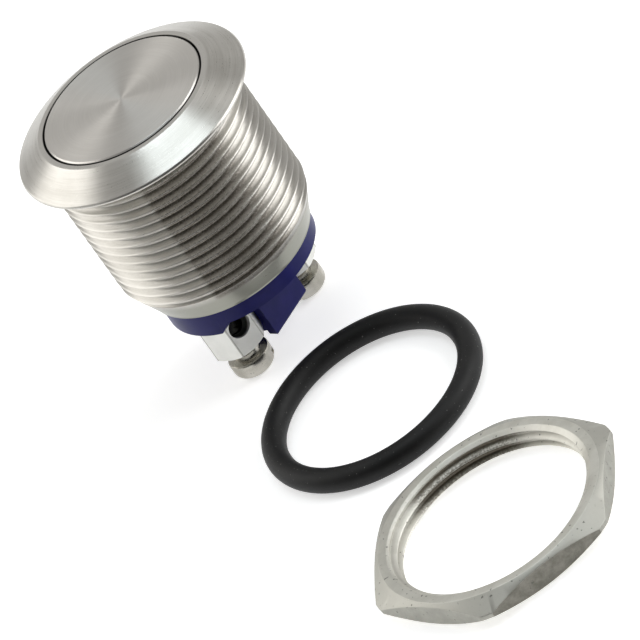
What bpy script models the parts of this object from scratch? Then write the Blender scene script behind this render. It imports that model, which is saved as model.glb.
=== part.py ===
# Anti vandal push button: a momentary switch with a flush metal cap, a threaded metal housing and two
# screw terminals in a plastic base. Its panel seal and panel nut lie beside it.
# Metres, +Z up, and the table is at z = 0. The switch stands on the heads of its terminal screws.
import math

import bmesh
import bpy
from mathutils import Matrix, Vector

# Front: the bezel and the cap that is flush with it
BEZEL_RADIUS = 0.0111
BEZEL_HEIGHT = 0.00205
BEZEL_EDGE = 0.00035
BEZEL_LAND = 0.0005
SEAT_CORNER = 0.0002
SEAT_RELIEF_WIDTH = 0.0002
SEAT_RELIEF_DEPTH = 0.00015
CAP_WALL = 0.0011
CAP_RISE = 0.0001
CAP_THICKNESS = 0.00375
CAP_EDGE = 0.00015
CAP_TRAVEL = 0.0015
STEM_RADIUS = 0.0030
STEM_SOCKET = 0.00165
CAP_SEAL_SECTION = 0.00045
CAP_SEAL_RISE = 0.0006

# Housing: an M19 x 1 thread between an undercut and a plain tapered end
THREAD_RADIUS = 0.0094
THREAD_DEPTH = 0.0006
THREAD_PITCH = 0.0010
THREAD_UNDERCUT = 0.0004
THREAD_LENGTH = 0.01335
END_TAPER = 0.0031
END_STEP = 0.0014
PLAIN_END_LENGTH = 0.00015
PLAIN_END_CORNER = 0.00005
PLAIN_END_WALL = 0.0006
WEB_THICKNESS = 0.0015

# Plastic base
BASE_STEP = 0.0004
BASE_HEIGHT = 0.0026
BASE_FLOOR = 0.0023
SPIGOT_WALL = 0.0008
SPIGOT_RISE = 0.0023
BASE_CORNER = 0.0002
POCKET_DEPTH = 0.0011
BARRIER_WIDTH = 0.0052
BARRIER_LENGTH = 0.0047
BARRIER_DROP = 0.0052
BARRIER_BEVEL = 0.0003
WIRE_STEP_HEIGHT = 0.00095
BASE_SEAL_SECTION = 0.0004
BASE_SEAL_RISE = 0.0005

# Screw terminals
TERMINAL_INSET = 0.0030
TERMINAL_ANGLE = 36  # degrees from +X
POST_WIDTH = 0.0046
POST_LENGTH = 0.0050
POST_CHAMFER = 0.0001
POST_SHANK_RADIUS = 0.0011
WIRE_HOLE_RADIUS = 0.0011
WIRE_HOLE_DEPTH = 0.0022
WIRE_SPLAY_ANGLE = 17.5  # degrees outwards from square to the line through both posts
SCREW_HEAD_RADIUS = 0.0020
SCREW_HEAD_HEIGHT = 0.0019
SCREW_SHANK_RADIUS = 0.00125
SCREW_CORNER = 0.0002
SCREW_BACKED_OFF = 0.0012
SLOT_WIDTH = 0.0005
SLOT_DEPTH = 0.0007
SLOT_ANGLES = (-22, 50)  # degrees from +X

# Contacts and what drives them
CLIP_THICKNESS = 0.0006
CLIP_RADIUS = 0.0046
CLIP_GROOVE_DEPTH = 0.0007
PLUG_LENGTH = 0.0020
PLUNGER_FLANGE = 0.0010
PLUNGER_RADIUS = 0.0034
NOSE_RADIUS = 0.0010
NOSE_HEAD_RADIUS = 0.0016
NOSE_HEAD_HEIGHT = 0.0005
CONTACT_SPRING_HEIGHT = 0.00175
BRIDGE_END = 0.0012
BRIDGE_WIDTH = 0.0034
BRIDGE_THICKNESS = 0.0005
TIP_RADIUS = 0.0011
TIP_HEIGHT = 0.0005
SHANK_RISE = 0.00017
RIVET_RADIUS = 0.0005
RETURN_WIRE = 0.00025
RETURN_TURNS = 4
RETURN_TURN_ROOM = 0.0006
CONTACT_WIRE = 0.00015
CONTACT_TURNS = 3.5
CONTACT_SPRING_RADIUS = 0.0017

# Loose pieces: the panel seal and the panel nut, laid out in front of the switch
SEAL_RADIUS = 0.0095
SEAL_SECTION = 0.0011
SEAL_RIGHT = 0.0027
SEAL_FORWARD = 0.01865
NUT_WALL = 0.00185
NUT_THICKNESS = 0.0024
NUT_FACE_WIDTH = 0.0008
NUT_LEAD_WIDTH = 0.0007
NUT_LEAD_DEPTH = 0.0005
NUT_RIGHT = 0.0052
NUT_FORWARD = 0.0442
NUT_ANGLE = 5  # degrees, of one corner from +X

# Clearances
CAP_CLEARANCE = 0.0001
RUNNING_CLEARANCE = 0.00008
FIT_CLEARANCE = 0.0001
REST_GAP = 0.0003
THREAD_CLEARANCE = 0.0001

# Facets of the large and the small round forms, both a multiple of six for the hexagons
ROUND = 36
SMALL_ROUND = 24

TERMINAL_TURN = math.radians(TERMINAL_ANGLE)
WIRE_SPLAY = math.radians(WIRE_SPLAY_ANGLE)
SLOT_TURNS = [math.radians(angle) for angle in SLOT_ANGLES]
NUT_TURN = math.radians(NUT_ANGLE)

# Heights above the table, worked out from the sizes
HOUSING_LENGTH = THREAD_LENGTH + END_TAPER + PLAIN_END_LENGTH
POST_BOTTOM = SCREW_HEAD_HEIGHT + SCREW_BACKED_OFF
POCKET_CEILING = POST_BOTTOM + POST_LENGTH
BASE_BOTTOM = POCKET_CEILING - POCKET_DEPTH
HOUSING_END = BASE_BOTTOM + BASE_HEIGHT
SEAT = HOUSING_END + HOUSING_LENGTH
BEZEL_TOP = SEAT + BEZEL_HEIGHT
CAP_TOP = BEZEL_TOP + CAP_RISE
CAP_BOTTOM = CAP_TOP - CAP_THICKNESS
FLOOR_TOP = HOUSING_END + BASE_FLOOR
SHANK_TOP = FLOOR_TOP + SHANK_RISE
FIXED_TOP = SHANK_TOP + TIP_HEIGHT
BRIDGE_BOTTOM = FIXED_TOP + FIT_CLEARANCE + CAP_TRAVEL + TIP_HEIGHT
BRIDGE_TOP = BRIDGE_BOTTOM + BRIDGE_THICKNESS
FLANGE_BOTTOM = BRIDGE_TOP + CONTACT_SPRING_HEIGHT
STEM_END = FLANGE_BOTTOM + PLUNGER_FLANGE
CLIP_BOTTOM = STEM_END + CLIP_THICKNESS
CLIP_TOP = CLIP_BOTTOM + CLIP_THICKNESS
WEB_BOTTOM = CLIP_TOP + RUNNING_CLEARANCE
WEB_TOP = WEB_BOTTOM + WEB_THICKNESS

# Radii, worked out from the thread inwards
THREAD_ROOT = THREAD_RADIUS - THREAD_DEPTH
BORE_RADIUS = THREAD_ROOT - CAP_WALL
CAP_RADIUS = BORE_RADIUS - CAP_CLEARANCE
PLAIN_END_RADIUS = THREAD_RADIUS - END_STEP
CAVITY_RADIUS = PLAIN_END_RADIUS - PLAIN_END_WALL
BASE_RADIUS = PLAIN_END_RADIUS - BASE_STEP
TERMINAL_OFFSET = BASE_RADIUS - TERMINAL_INSET
BRIDGE_LENGTH = 2 * (TERMINAL_OFFSET + BRIDGE_END)
NUT_BORE = THREAD_ROOT + THREAD_CLEARANCE
NUT_WIDTH = 2 * (NUT_BORE + NUT_WALL)
NUT_FACE_RADIUS = NUT_BORE + NUT_LEAD_WIDTH + NUT_FACE_WIDTH
STEM_BORE = STEM_RADIUS + RUNNING_CLEARANCE
THREAD_MARGIN = THREAD_PITCH / 3
END_SLOPE = END_STEP / END_TAPER
SPIGOT_RADIUS = CAVITY_RADIUS - FIT_CLEARANCE
SPIGOT_TOP = FLOOR_TOP + SPIGOT_RISE
CAP_SEAL_RADIUS = BORE_RADIUS - FIT_CLEARANCE / 2 - CAP_SEAL_SECTION
BASE_SEAL_RADIUS = CAVITY_RADIUS - FIT_CLEARANCE / 2 - BASE_SEAL_SECTION

# One turn of thread, as (share of the pitch, share of the depth): root, flank, crest, flank
THREAD_SHAPE = ((0.0, 0.0), (0.22, 0.0), (0.5, 1.0), (0.72, 1.0))

# The set stands over the origin: the middle of its outline lies on the Z axis
NUT_REACH = NUT_WIDTH / math.sqrt(3)
BACK = BEZEL_RADIUS
FRONT = -NUT_FORWARD - NUT_REACH * math.cos(math.radians(30) - NUT_TURN)
LEFT = -BEZEL_RADIUS
RIGHT = NUT_RIGHT + NUT_REACH * math.cos(NUT_TURN)
SET_SHIFT = Vector((-(LEFT + RIGHT) / 2, -(BACK + FRONT) / 2, 0))


def clear_scene():
    for thing in list(bpy.data.objects):
        bpy.data.objects.remove(thing, do_unlink=True)


def material(name, colour, roughness, metallic):
    made = bpy.data.materials.new(name)
    made.use_nodes = True
    shader = made.node_tree.nodes["Principled BSDF"]
    shader.inputs["Base Color"].default_value = (*colour, 1)
    shader.inputs["Roughness"].default_value = roughness
    shader.inputs["Metallic"].default_value = metallic
    return made


def finish(name, bm, finish_material, parent, location=(0, 0, 0), turn=0):
    """Make an object of the mesh, with its normals out, shaded smooth with sharp edges kept."""
    bmesh.ops.remove_doubles(bm, verts=bm.verts, dist=1e-7)
    bmesh.ops.recalc_face_normals(bm, faces=bm.faces)
    mesh = bpy.data.meshes.new(name)
    bm.to_mesh(mesh)
    bm.free()
    mesh.shade_smooth()
    mesh.set_sharp_from_angle(angle=math.radians(35))
    mesh.materials.append(finish_material)
    made = bpy.data.objects.new(name, mesh)
    bpy.context.collection.objects.link(made)
    made.parent = parent
    made.location = location
    made.rotation_euler = (0, 0, turn)
    return made


def lathe(profile, steps=ROUND, closed=True):
    """Turn a profile of (radius, height) points about the Z axis."""
    bm = bmesh.new()
    points = [bm.verts.new((radius, 0, height)) for radius, height in profile]
    pairs = list(zip(points, points[1:]))
    if closed:
        pairs.append((points[-1], points[0]))
    edges = [bm.edges.new(pair) for pair in pairs]
    bmesh.ops.spin(bm, geom=points + edges, cent=(0, 0, 0), axis=(0, 0, 1), angle=2 * math.pi,
                   steps=steps, use_merge=True)
    bmesh.ops.remove_doubles(bm, verts=bm.verts, dist=1e-7)
    return bm


def arc(centre_radius, centre_height, radius, start, end, steps):
    """Points of (radius, height) along an arc, with its angles in degrees from the outward direction."""
    angles = [math.radians(start + (end - start) * step / steps) for step in range(steps + 1)]
    return [(centre_radius + radius * math.cos(angle), centre_height + radius * math.sin(angle))
            for angle in angles]


def hexagon(width, low, high):
    """An upright hexagonal prism of the given width across its flats, with one flat facing +X."""
    bm = bmesh.new()
    reach = width / math.sqrt(3)
    bmesh.ops.create_cone(bm, cap_ends=True, segments=6, radius1=reach, radius2=reach, depth=high - low,
                          matrix=Matrix.Translation((0, 0, (low + high) / 2)))
    return bm


def block(size, centre):
    bm = bmesh.new()
    bmesh.ops.create_cube(bm, size=1, matrix=Matrix.Translation(centre) @ Matrix.Diagonal((*size, 1)))
    return bm


def cylinder(radius, low, high, steps=SMALL_ROUND):
    return lathe([(0, low), (radius, low), (radius, high), (0, high)], steps, closed=False)


def cutter(name, bm, parent, location=(0, 0, 0), turn=0):
    made = finish(name, bm, CUTTER_FINISH, parent, location, turn)
    made.hide_render = True
    made.display_type = "WIRE"
    return made


def boolean(piece, other, operation="DIFFERENCE"):
    step = piece.modifiers.new(other.name, "BOOLEAN")
    step.operation = operation
    step.solver = "EXACT"
    step.object = other


def coil(name, mean_radius, wire_radius, turns, low, high, finish_material, parent, per_turn=14):
    """A wound spring: a round wire along a helix whose two end turns lie flat."""
    count = int(turns * per_turn)
    curve = bpy.data.curves.new(name, "CURVE")
    curve.dimensions = "3D"
    curve.bevel_depth = wire_radius
    curve.bevel_resolution = 1
    curve.render_resolution_u = 0
    curve.use_fill_caps = True
    spline = curve.splines.new("POLY")
    spline.points.add(count)
    for index in range(count + 1):
        angle = 2 * math.pi * turns * index / count
        share = (angle / (2 * math.pi) - 0.75) / (turns - 1.5)
        height = low + wire_radius + (high - low - 2 * wire_radius) * min(max(share, 0), 1)
        spline.points[index].co = (mean_radius * math.cos(angle), mean_radius * math.sin(angle), height, 1)
    curve.materials.append(finish_material)
    made = bpy.data.objects.new(name, curve)
    bpy.context.collection.objects.link(made)
    made.parent = parent
    return made


def thread_skin(low, high):
    """The outer skin of a helical thread: it sinks to its root at the top, and into a taper below."""
    bm = bmesh.new()
    rows = []
    per_turn = len(THREAD_SHAPE)
    start = low - 1.6 * THREAD_PITCH
    for row in range(per_turn * (int((high - low) / THREAD_PITCH) + 5)):
        share, height = THREAD_SHAPE[row % per_turn]
        line = []
        for step in range(ROUND):
            z = start + THREAD_PITCH * (row // per_turn + share + step / ROUND)
            fade = min(max((high - THREAD_MARGIN - z) / THREAD_PITCH, 0), height)
            taper = THREAD_RADIUS - END_SLOPE * max(SEAT - THREAD_LENGTH - z, 0)
            radius = min(THREAD_ROOT + THREAD_DEPTH * fade, taper)
            angle = 2 * math.pi * step / ROUND
            line.append(bm.verts.new((radius * math.cos(angle), radius * math.sin(angle), z)))
        rows.append(line)
    for row in range(len(rows) - per_turn - 1):
        for step in range(ROUND):
            following = (rows[row][step + 1], rows[row + 1][step + 1]) if step + 1 < ROUND else (
                rows[row + per_turn][0], rows[row + per_turn + 1][0])
            bm.faces.new((rows[row][step], *following, rows[row + 1][step]))
    for height, direction in ((high, 1), (low, -1)):
        bmesh.ops.bisect_plane(bm, geom=bm.verts[:] + bm.edges[:] + bm.faces[:], dist=1e-8,
                               plane_co=(0, 0, height), plane_no=(0, 0, direction), clear_outer=True)
    return bm


def rim(bm, height):
    return [edge for edge in bm.edges
            if edge.is_boundary and all(abs(vert.co.z - height) < 1e-6 for vert in edge.verts)]


def draw_out(bm, edges, radius, profile):
    """Carry an open rim of the given radius along a profile of (radius, height) points."""
    for next_radius, height in profile:
        grown = bmesh.ops.extrude_edge_only(bm, edges=edges)["geom"]
        for vert in (item for item in grown if isinstance(item, bmesh.types.BMVert)):
            vert.co.x *= next_radius / radius
            vert.co.y *= next_radius / radius
            vert.co.z = height
        radius = next_radius
        edges = [item for item in grown if isinstance(item, bmesh.types.BMEdge) and item.is_boundary]
    return edges


def make_housing(parent):
    """One turned piece: bezel, threaded barrel, bore for the cap, guide web and cavity for the base."""
    thread_top = SEAT - THREAD_UNDERCUT
    thread_end = SEAT - THREAD_LENGTH - THREAD_DEPTH / END_SLOPE - THREAD_MARGIN
    bm = thread_skin(thread_end, thread_top)
    lower_rim = rim(bm, thread_end)
    relief = THREAD_RADIUS + SEAT_RELIEF_WIDTH
    profile = [
        (THREAD_ROOT, SEAT + SEAT_RELIEF_DEPTH),
        (relief, SEAT + SEAT_RELIEF_DEPTH),
        (relief, SEAT),
        (BEZEL_RADIUS - SEAT_CORNER, SEAT),
        (BEZEL_RADIUS, SEAT + SEAT_CORNER),
        (BEZEL_RADIUS, SEAT + BEZEL_EDGE),
        (BORE_RADIUS + BEZEL_LAND, BEZEL_TOP),
        (BORE_RADIUS, BEZEL_TOP),
        (BORE_RADIUS, WEB_TOP),
        (STEM_BORE, WEB_TOP),
        (STEM_BORE, WEB_BOTTOM),
        (CAVITY_RADIUS, WEB_BOTTOM),
        (CAVITY_RADIUS, HOUSING_END),
        (PLAIN_END_RADIUS - PLAIN_END_CORNER, HOUSING_END),
        (PLAIN_END_RADIUS, HOUSING_END + PLAIN_END_CORNER),
        (PLAIN_END_RADIUS, HOUSING_END + PLAIN_END_LENGTH),
    ]
    last = draw_out(bm, rim(bm, thread_top), THREAD_ROOT, profile)
    bmesh.ops.bridge_loops(bm, edges=last + lower_rim)
    return finish("housing", bm, STEEL, parent)


def make_cap(parent):
    """The flush cap and its stem, turned in one, with a seal groove and a groove for the clip."""
    groove_low = CAP_BOTTOM + CAP_SEAL_RISE
    groove_high = groove_low + 2 * CAP_SEAL_SECTION + REST_GAP
    groove_floor = CAP_SEAL_RADIUS - CAP_SEAL_SECTION - REST_GAP
    clip_floor = STEM_RADIUS - CLIP_GROOVE_DEPTH
    profile = [
        (0, CAP_TOP),
        (CAP_RADIUS - CAP_EDGE, CAP_TOP),
        (CAP_RADIUS, CAP_TOP - CAP_EDGE),
        (CAP_RADIUS, groove_high),
        (groove_floor, groove_high),
        (groove_floor, groove_low),
        (CAP_RADIUS, groove_low),
        (CAP_RADIUS, CAP_BOTTOM),
        (STEM_RADIUS, CAP_BOTTOM),
        (STEM_RADIUS, CLIP_TOP + FIT_CLEARANCE / 2),
        (clip_floor, CLIP_TOP + FIT_CLEARANCE / 2),
        (clip_floor, CLIP_BOTTOM - FIT_CLEARANCE / 2),
        (STEM_RADIUS, CLIP_BOTTOM - FIT_CLEARANCE / 2),
        (STEM_RADIUS, STEM_END),
        (STEM_SOCKET, STEM_END),
        (STEM_SOCKET, STEM_END + PLUG_LENGTH + REST_GAP),
        (0, STEM_END + PLUG_LENGTH + REST_GAP),
    ]
    finish("button_cap", lathe(profile, closed=False), BRUSHED_STEEL, parent)


def seal_ring(name, mean_radius, section, height, parent, steps=ROUND, sides=8, location=(0, 0, 0)):
    """A round-section ring with a flat of its section facing down."""
    first = 270 - 180 / sides
    profile = arc(mean_radius, height, section / math.cos(math.pi / sides), first, first + 360, sides)[:-1]
    return finish(name, lathe(profile, steps), RUBBER, parent, location)


def make_clip(parent):
    """An open retaining ring in the groove of the stem."""
    inner = STEM_RADIUS - CLIP_GROOVE_DEPTH + FIT_CLEARANCE
    ring = finish("retaining_clip", lathe([(inner, CLIP_BOTTOM), (CLIP_RADIUS, CLIP_BOTTOM),
                                           (CLIP_RADIUS, CLIP_TOP), (inner, CLIP_TOP)]), SPRING_STEEL, parent)
    mouth = block((2 * CLIP_RADIUS, 1.6 * inner, 4 * CLIP_THICKNESS),
                  (CLIP_RADIUS, 0, (CLIP_TOP + CLIP_BOTTOM) / 2))
    boolean(ring, cutter("clip_mouth", mouth, parent))


def make_plunger(parent):
    """The plastic pusher: a plug for the stem, a flange for the contact spring, and a nose with a head."""
    plug = STEM_SOCKET - FIT_CLEARANCE
    head_top = BRIDGE_BOTTOM - FIT_CLEARANCE
    head_bottom = head_top - NOSE_HEAD_HEIGHT
    profile = [
        (0, STEM_END + PLUG_LENGTH),
        (plug, STEM_END + PLUG_LENGTH),
        (plug, STEM_END),
        (PLUNGER_RADIUS, STEM_END),
        (PLUNGER_RADIUS, FLANGE_BOTTOM),
        (NOSE_RADIUS, FLANGE_BOTTOM),
        (NOSE_RADIUS, head_top),
        (NOSE_HEAD_RADIUS, head_top),
        (NOSE_RADIUS, head_bottom),
        (0, head_bottom),
    ]
    finish("plunger", lathe(profile, SMALL_ROUND, closed=False), NYLON, parent)


def terminal_place(side):
    offset = side * TERMINAL_OFFSET
    return (offset * math.cos(TERMINAL_TURN), offset * math.sin(TERMINAL_TURN), 0)


def post_turn(side):
    """The way that the wire hole of a post faces: both to the front, splayed outwards."""
    return TERMINAL_TURN - math.pi / 2 + side * WIRE_SPLAY


def contact_tip():
    """Points of (radius, height) on a contact tip, from its rim to the middle of its face."""
    return ((TIP_RADIUS, 0), (TIP_RADIUS, 0.6 * TIP_HEIGHT), (0.7 * TIP_RADIUS, TIP_HEIGHT), (0, TIP_HEIGHT))


def make_bridge(parent):
    """The strip that joins the two fixed contacts when the cap is pressed, with its two contact tips."""
    strip = block((BRIDGE_LENGTH, BRIDGE_WIDTH, BRIDGE_THICKNESS), (0, 0, (BRIDGE_TOP + BRIDGE_BOTTOM) / 2))
    upright = [edge for edge in strip.edges
               if abs(edge.verts[0].co.z - edge.verts[1].co.z) > BRIDGE_THICKNESS / 2]
    bmesh.ops.bevel(strip, geom=upright, offset=BRIDGE_WIDTH / 4, segments=3, affect="EDGES",
                    profile=0.5)
    bridge = finish("contact_bridge", strip, COPPER, parent, turn=TERMINAL_TURN)
    guide = cylinder(NOSE_RADIUS + FIT_CLEARANCE, BRIDGE_BOTTOM - TIP_HEIGHT, BRIDGE_TOP + TIP_HEIGHT)
    boolean(bridge, cutter("bridge_guide_hole", guide, parent))
    for number, side in ((1, -1), (2, 1)):
        hole = cylinder(RIVET_RADIUS + FIT_CLEARANCE / 2, BRIDGE_BOTTOM - TIP_HEIGHT,
                        BRIDGE_TOP + TIP_HEIGHT)
        boolean(bridge, cutter(f"bridge_rivet_hole_{number}", hole, parent, terminal_place(side)))
        profile = [(0, BRIDGE_TOP), (RIVET_RADIUS, BRIDGE_TOP), (RIVET_RADIUS, BRIDGE_BOTTOM)]
        profile += [(radius, BRIDGE_BOTTOM - height) for radius, height in contact_tip()]
        finish(f"moving_contact_{number}", lathe(profile, SMALL_ROUND, closed=False), SILVER, parent,
               terminal_place(side))


def make_fixed_contacts(parent):
    for number, side in ((1, -1), (2, 1)):
        profile = [(0, SHANK_TOP)] + [(radius, SHANK_TOP + height) for radius, height in contact_tip()]
        finish(f"fixed_contact_{number}", lathe(profile, SMALL_ROUND, closed=False), SILVER, parent,
               terminal_place(side))


def make_posts(parent):
    """Two hexagonal terminal posts, each with a chamfered end, a cross hole and a screw hole."""
    reach = POST_WIDTH / math.sqrt(3)
    end_radius = POST_WIDTH / 2 - POST_CHAMFER
    slope = math.tan(math.radians(30))
    for number, side in ((1, -1), (2, 1)):
        place = terminal_place(side)
        turn = post_turn(side)
        profile = [
            (0, SHANK_TOP),
            (POST_SHANK_RADIUS, SHANK_TOP),
            (POST_SHANK_RADIUS, POCKET_CEILING),
            (2 * reach, POCKET_CEILING),
            (2 * reach, POST_BOTTOM + (2 * reach - end_radius) * slope),
            (end_radius, POST_BOTTOM),
            (0, POST_BOTTOM),
        ]
        post = finish(f"terminal_post_{number}", lathe(profile, SMALL_ROUND, closed=False), PLATED_BRASS,
                      parent, place, turn)
        sides = cutter(f"post_hexagon_{number}", hexagon(POST_WIDTH, 0, SEAT), parent, place, turn)
        boolean(post, sides, "INTERSECT")
        boolean(post, cutter(f"post_screw_hole_{number}", cylinder(
            SCREW_SHANK_RADIUS + RUNNING_CLEARANCE, 0, POCKET_CEILING - WIRE_HOLE_DEPTH), parent, place))
        wire = cylinder(WIRE_HOLE_RADIUS, -POST_WIDTH, POST_WIDTH)
        wire.transform(Matrix.Translation((0, 0, POCKET_CEILING - WIRE_HOLE_DEPTH)) @
                       Matrix.Rotation(math.pi / 2, 4, "Y"))
        boolean(post, cutter(f"post_wire_hole_{number}", wire, parent, place, turn))


def make_screws(parents):
    """Two slotted pan-head clamp screws, backed off so that their heads stand clear of the posts."""
    rim_height = 0.45 * SCREW_HEAD_HEIGHT
    flat = 0.45 * SCREW_HEAD_RADIUS
    dome = [(flat + (SCREW_HEAD_RADIUS - flat) * math.sin(angle), rim_height * (1 - math.cos(angle)))
            for angle in (math.radians(22.5 * step) for step in range(5))]
    tip = POCKET_CEILING - WIRE_HOLE_DEPTH - WIRE_HOLE_RADIUS
    for number, side in ((1, -1), (2, 1)):
        profile = [(0, 0)] + dome + [
            (SCREW_HEAD_RADIUS, SCREW_HEAD_HEIGHT - SCREW_CORNER),
            (SCREW_HEAD_RADIUS - SCREW_CORNER, SCREW_HEAD_HEIGHT),
            (SCREW_SHANK_RADIUS, SCREW_HEAD_HEIGHT),
            (SCREW_SHANK_RADIUS, tip - SCREW_CORNER),
            (SCREW_SHANK_RADIUS - SCREW_CORNER, tip),
            (0, tip),
        ]
        screw = finish(f"terminal_screw_{number}", lathe(profile, SMALL_ROUND, closed=False), NICKEL,
                       parents[number - 1])
        slot = block((3 * SCREW_HEAD_RADIUS, SLOT_WIDTH, 2 * SLOT_DEPTH), (0, 0, 0))
        boolean(screw, cutter(f"screw_slot_{number}", slot, parents[number - 1], turn=SLOT_TURNS[number - 1]))


def make_base(parent):
    """The moulded base: a disc under the housing, a hollow spigot, a barrier between the posts.

    In front of the posts the disc is stepped up, with a sloping end to the step, so that wires can go in.
    """
    groove_low = HOUSING_END + BASE_SEAL_RISE
    groove_high = groove_low + 2 * BASE_SEAL_SECTION + REST_GAP / 2
    groove_floor = BASE_SEAL_RADIUS - BASE_SEAL_SECTION - REST_GAP
    profile = [
        (0, BASE_BOTTOM),
        (BASE_RADIUS - BASE_CORNER, BASE_BOTTOM),
        (BASE_RADIUS, BASE_BOTTOM + BASE_CORNER),
        (BASE_RADIUS, HOUSING_END),
        (SPIGOT_RADIUS, HOUSING_END),
        (SPIGOT_RADIUS, groove_low),
        (groove_floor, groove_low),
        (groove_floor, groove_high),
        (SPIGOT_RADIUS, groove_high),
        (SPIGOT_RADIUS, SPIGOT_TOP),
        (SPIGOT_RADIUS - SPIGOT_WALL, SPIGOT_TOP),
        (SPIGOT_RADIUS - SPIGOT_WALL, FLOOR_TOP),
        (0, FLOOR_TOP),
    ]
    base = finish("base", lathe(profile, closed=False), BLUE_PLASTIC, parent)
    step = block((3 * BASE_RADIUS, 2 * BASE_RADIUS, 2 * WIRE_STEP_HEIGHT),
                 (0, -BASE_RADIUS - POST_WIDTH / 2, BASE_BOTTOM))
    for vert in step.verts:
        vert.co.y -= vert.co.z - BASE_BOTTOM
    boolean(base, cutter("wire_step", step, parent, turn=TERMINAL_TURN))
    barrier = block((BARRIER_WIDTH, BARRIER_LENGTH, BARRIER_DROP + BASE_HEIGHT / 2),
                    (0, 0, BASE_BOTTOM + BASE_HEIGHT / 4 - BARRIER_DROP / 2))
    low_edges = [item for item in barrier.edges
                 if min(item.verts[0].co.z, item.verts[1].co.z) < BASE_BOTTOM - BARRIER_DROP / 2]
    bmesh.ops.bevel(barrier, geom=low_edges, offset=BARRIER_BEVEL, segments=1, affect="EDGES")
    boolean(base, cutter("base_barrier", barrier, parent, turn=TERMINAL_TURN), "UNION")
    for number, side in ((1, -1), (2, 1)):
        place = terminal_place(side)
        turn = post_turn(side)
        pocket = hexagon(POST_WIDTH + 2 * FIT_CLEARANCE, 0, POCKET_CEILING)
        boolean(base, cutter(f"post_pocket_{number}", pocket, parent, place, turn))
        shank = cylinder(POST_SHANK_RADIUS + FIT_CLEARANCE, BASE_BOTTOM, FLOOR_TOP + TIP_HEIGHT)
        boolean(base, cutter(f"shank_hole_{number}", shank, parent, place))


def make_nut(parent):
    """A thin hexagon nut: both faces chamfered so that the flats end in curves, the bore countersunk."""
    slope = math.tan(math.radians(30))
    reach = 1.2 * NUT_REACH
    half = NUT_THICKNESS / 2
    outer = NUT_FACE_RADIUS + half / slope
    profile = [
        (NUT_BORE, NUT_LEAD_DEPTH),
        (NUT_BORE + NUT_LEAD_WIDTH, 0),
        (NUT_FACE_RADIUS, 0),
        (min(outer, reach), min(half, (reach - NUT_FACE_RADIUS) * slope)),
        (NUT_FACE_RADIUS, NUT_THICKNESS),
        (NUT_BORE + NUT_LEAD_WIDTH, NUT_THICKNESS),
        (NUT_BORE, NUT_THICKNESS - NUT_LEAD_DEPTH),
    ]
    nut = finish("panel_nut", lathe(profile), NICKEL, parent, (NUT_RIGHT, -NUT_FORWARD, 0), NUT_TURN)
    boolean(nut, cutter("nut_hexagon", hexagon(NUT_WIDTH, -NUT_THICKNESS, 2 * NUT_THICKNESS), parent,
                        (NUT_RIGHT, -NUT_FORWARD, 0), NUT_TURN + math.pi / 6), "INTERSECT")


def empty(name, parent, location=(0, 0, 0)):
    made = bpy.data.objects.new(name, None)
    bpy.context.collection.objects.link(made)
    made.parent = parent
    made.location = location
    return made


clear_scene()

STEEL = material("turned_steel", (0.60, 0.58, 0.54), 0.32, 1.0)
BRUSHED_STEEL = material("brushed_steel", (0.62, 0.60, 0.56), 0.35, 1.0)
NICKEL = material("nickel_plate", (0.62, 0.60, 0.55), 0.28, 1.0)
PLATED_BRASS = material("tin_plated_brass", (0.72, 0.72, 0.70), 0.45, 1.0)
SPRING_STEEL = material("spring_steel", (0.45, 0.45, 0.45), 0.35, 1.0)
COPPER = material("copper_alloy", (0.75, 0.50, 0.30), 0.35, 1.0)
SILVER = material("contact_silver", (0.85, 0.85, 0.83), 0.25, 1.0)
BLUE_PLASTIC = material("blue_plastic", (0.06, 0.05, 0.30), 0.45, 0.0)
NYLON = material("white_nylon", (0.80, 0.79, 0.74), 0.50, 0.0)
RUBBER = material("black_rubber", (0.015, 0.015, 0.016), 0.60, 0.0)
CUTTER_FINISH = material("cutter", (0.50, 0.50, 0.50), 0.50, 0.0)

SWITCH_SET = empty("switch_set", None, SET_SHIFT)
MOVING = empty("pressed_pieces", SWITCH_SET)
make_housing(SWITCH_SET)
make_cap(MOVING)
seal_ring("cap_seal_ring", CAP_SEAL_RADIUS, CAP_SEAL_SECTION,
          CAP_BOTTOM + CAP_SEAL_RISE + CAP_SEAL_SECTION + REST_GAP / 2, MOVING)
make_clip(MOVING)
make_plunger(MOVING)
make_bridge(MOVING)
coil("contact_spring", CONTACT_SPRING_RADIUS, CONTACT_WIRE, CONTACT_TURNS, BRIDGE_TOP + FIT_CLEARANCE,
     FLANGE_BOTTOM - FIT_CLEARANCE, SPRING_STEEL, MOVING, per_turn=12)
turns_that_fit = min(RETURN_TURNS, (CAP_BOTTOM - WEB_TOP) / RETURN_TURN_ROOM)
coil("return_spring", (STEM_RADIUS + BORE_RADIUS) / 2, RETURN_WIRE, turns_that_fit, WEB_TOP + FIT_CLEARANCE,
     CAP_BOTTOM - FIT_CLEARANCE, SPRING_STEEL, SWITCH_SET)
make_fixed_contacts(SWITCH_SET)
make_base(SWITCH_SET)
seal_ring("base_seal_ring", BASE_SEAL_RADIUS, BASE_SEAL_SECTION,
          HOUSING_END + BASE_SEAL_RISE + BASE_SEAL_SECTION + REST_GAP / 4, SWITCH_SET)
make_posts(SWITCH_SET)
make_screws([empty("screw_axis_1", SWITCH_SET, terminal_place(-1)),
             empty("screw_axis_2", SWITCH_SET, terminal_place(1))])
seal_ring("panel_seal_ring", SEAL_RADIUS, SEAL_SECTION, SEAL_SECTION, SWITCH_SET, sides=12,
          location=(SEAL_RIGHT, -SEAL_FORWARD, 0))
make_nut(SWITCH_SET)
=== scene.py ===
# Anti vandal push button: the looks of its pieces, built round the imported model.
# Metres, +Z up. The switch stands on its terminal screws, with its panel seal and nut in front of it.
import math

import bpy
from mathutils import Matrix, Vector


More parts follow.
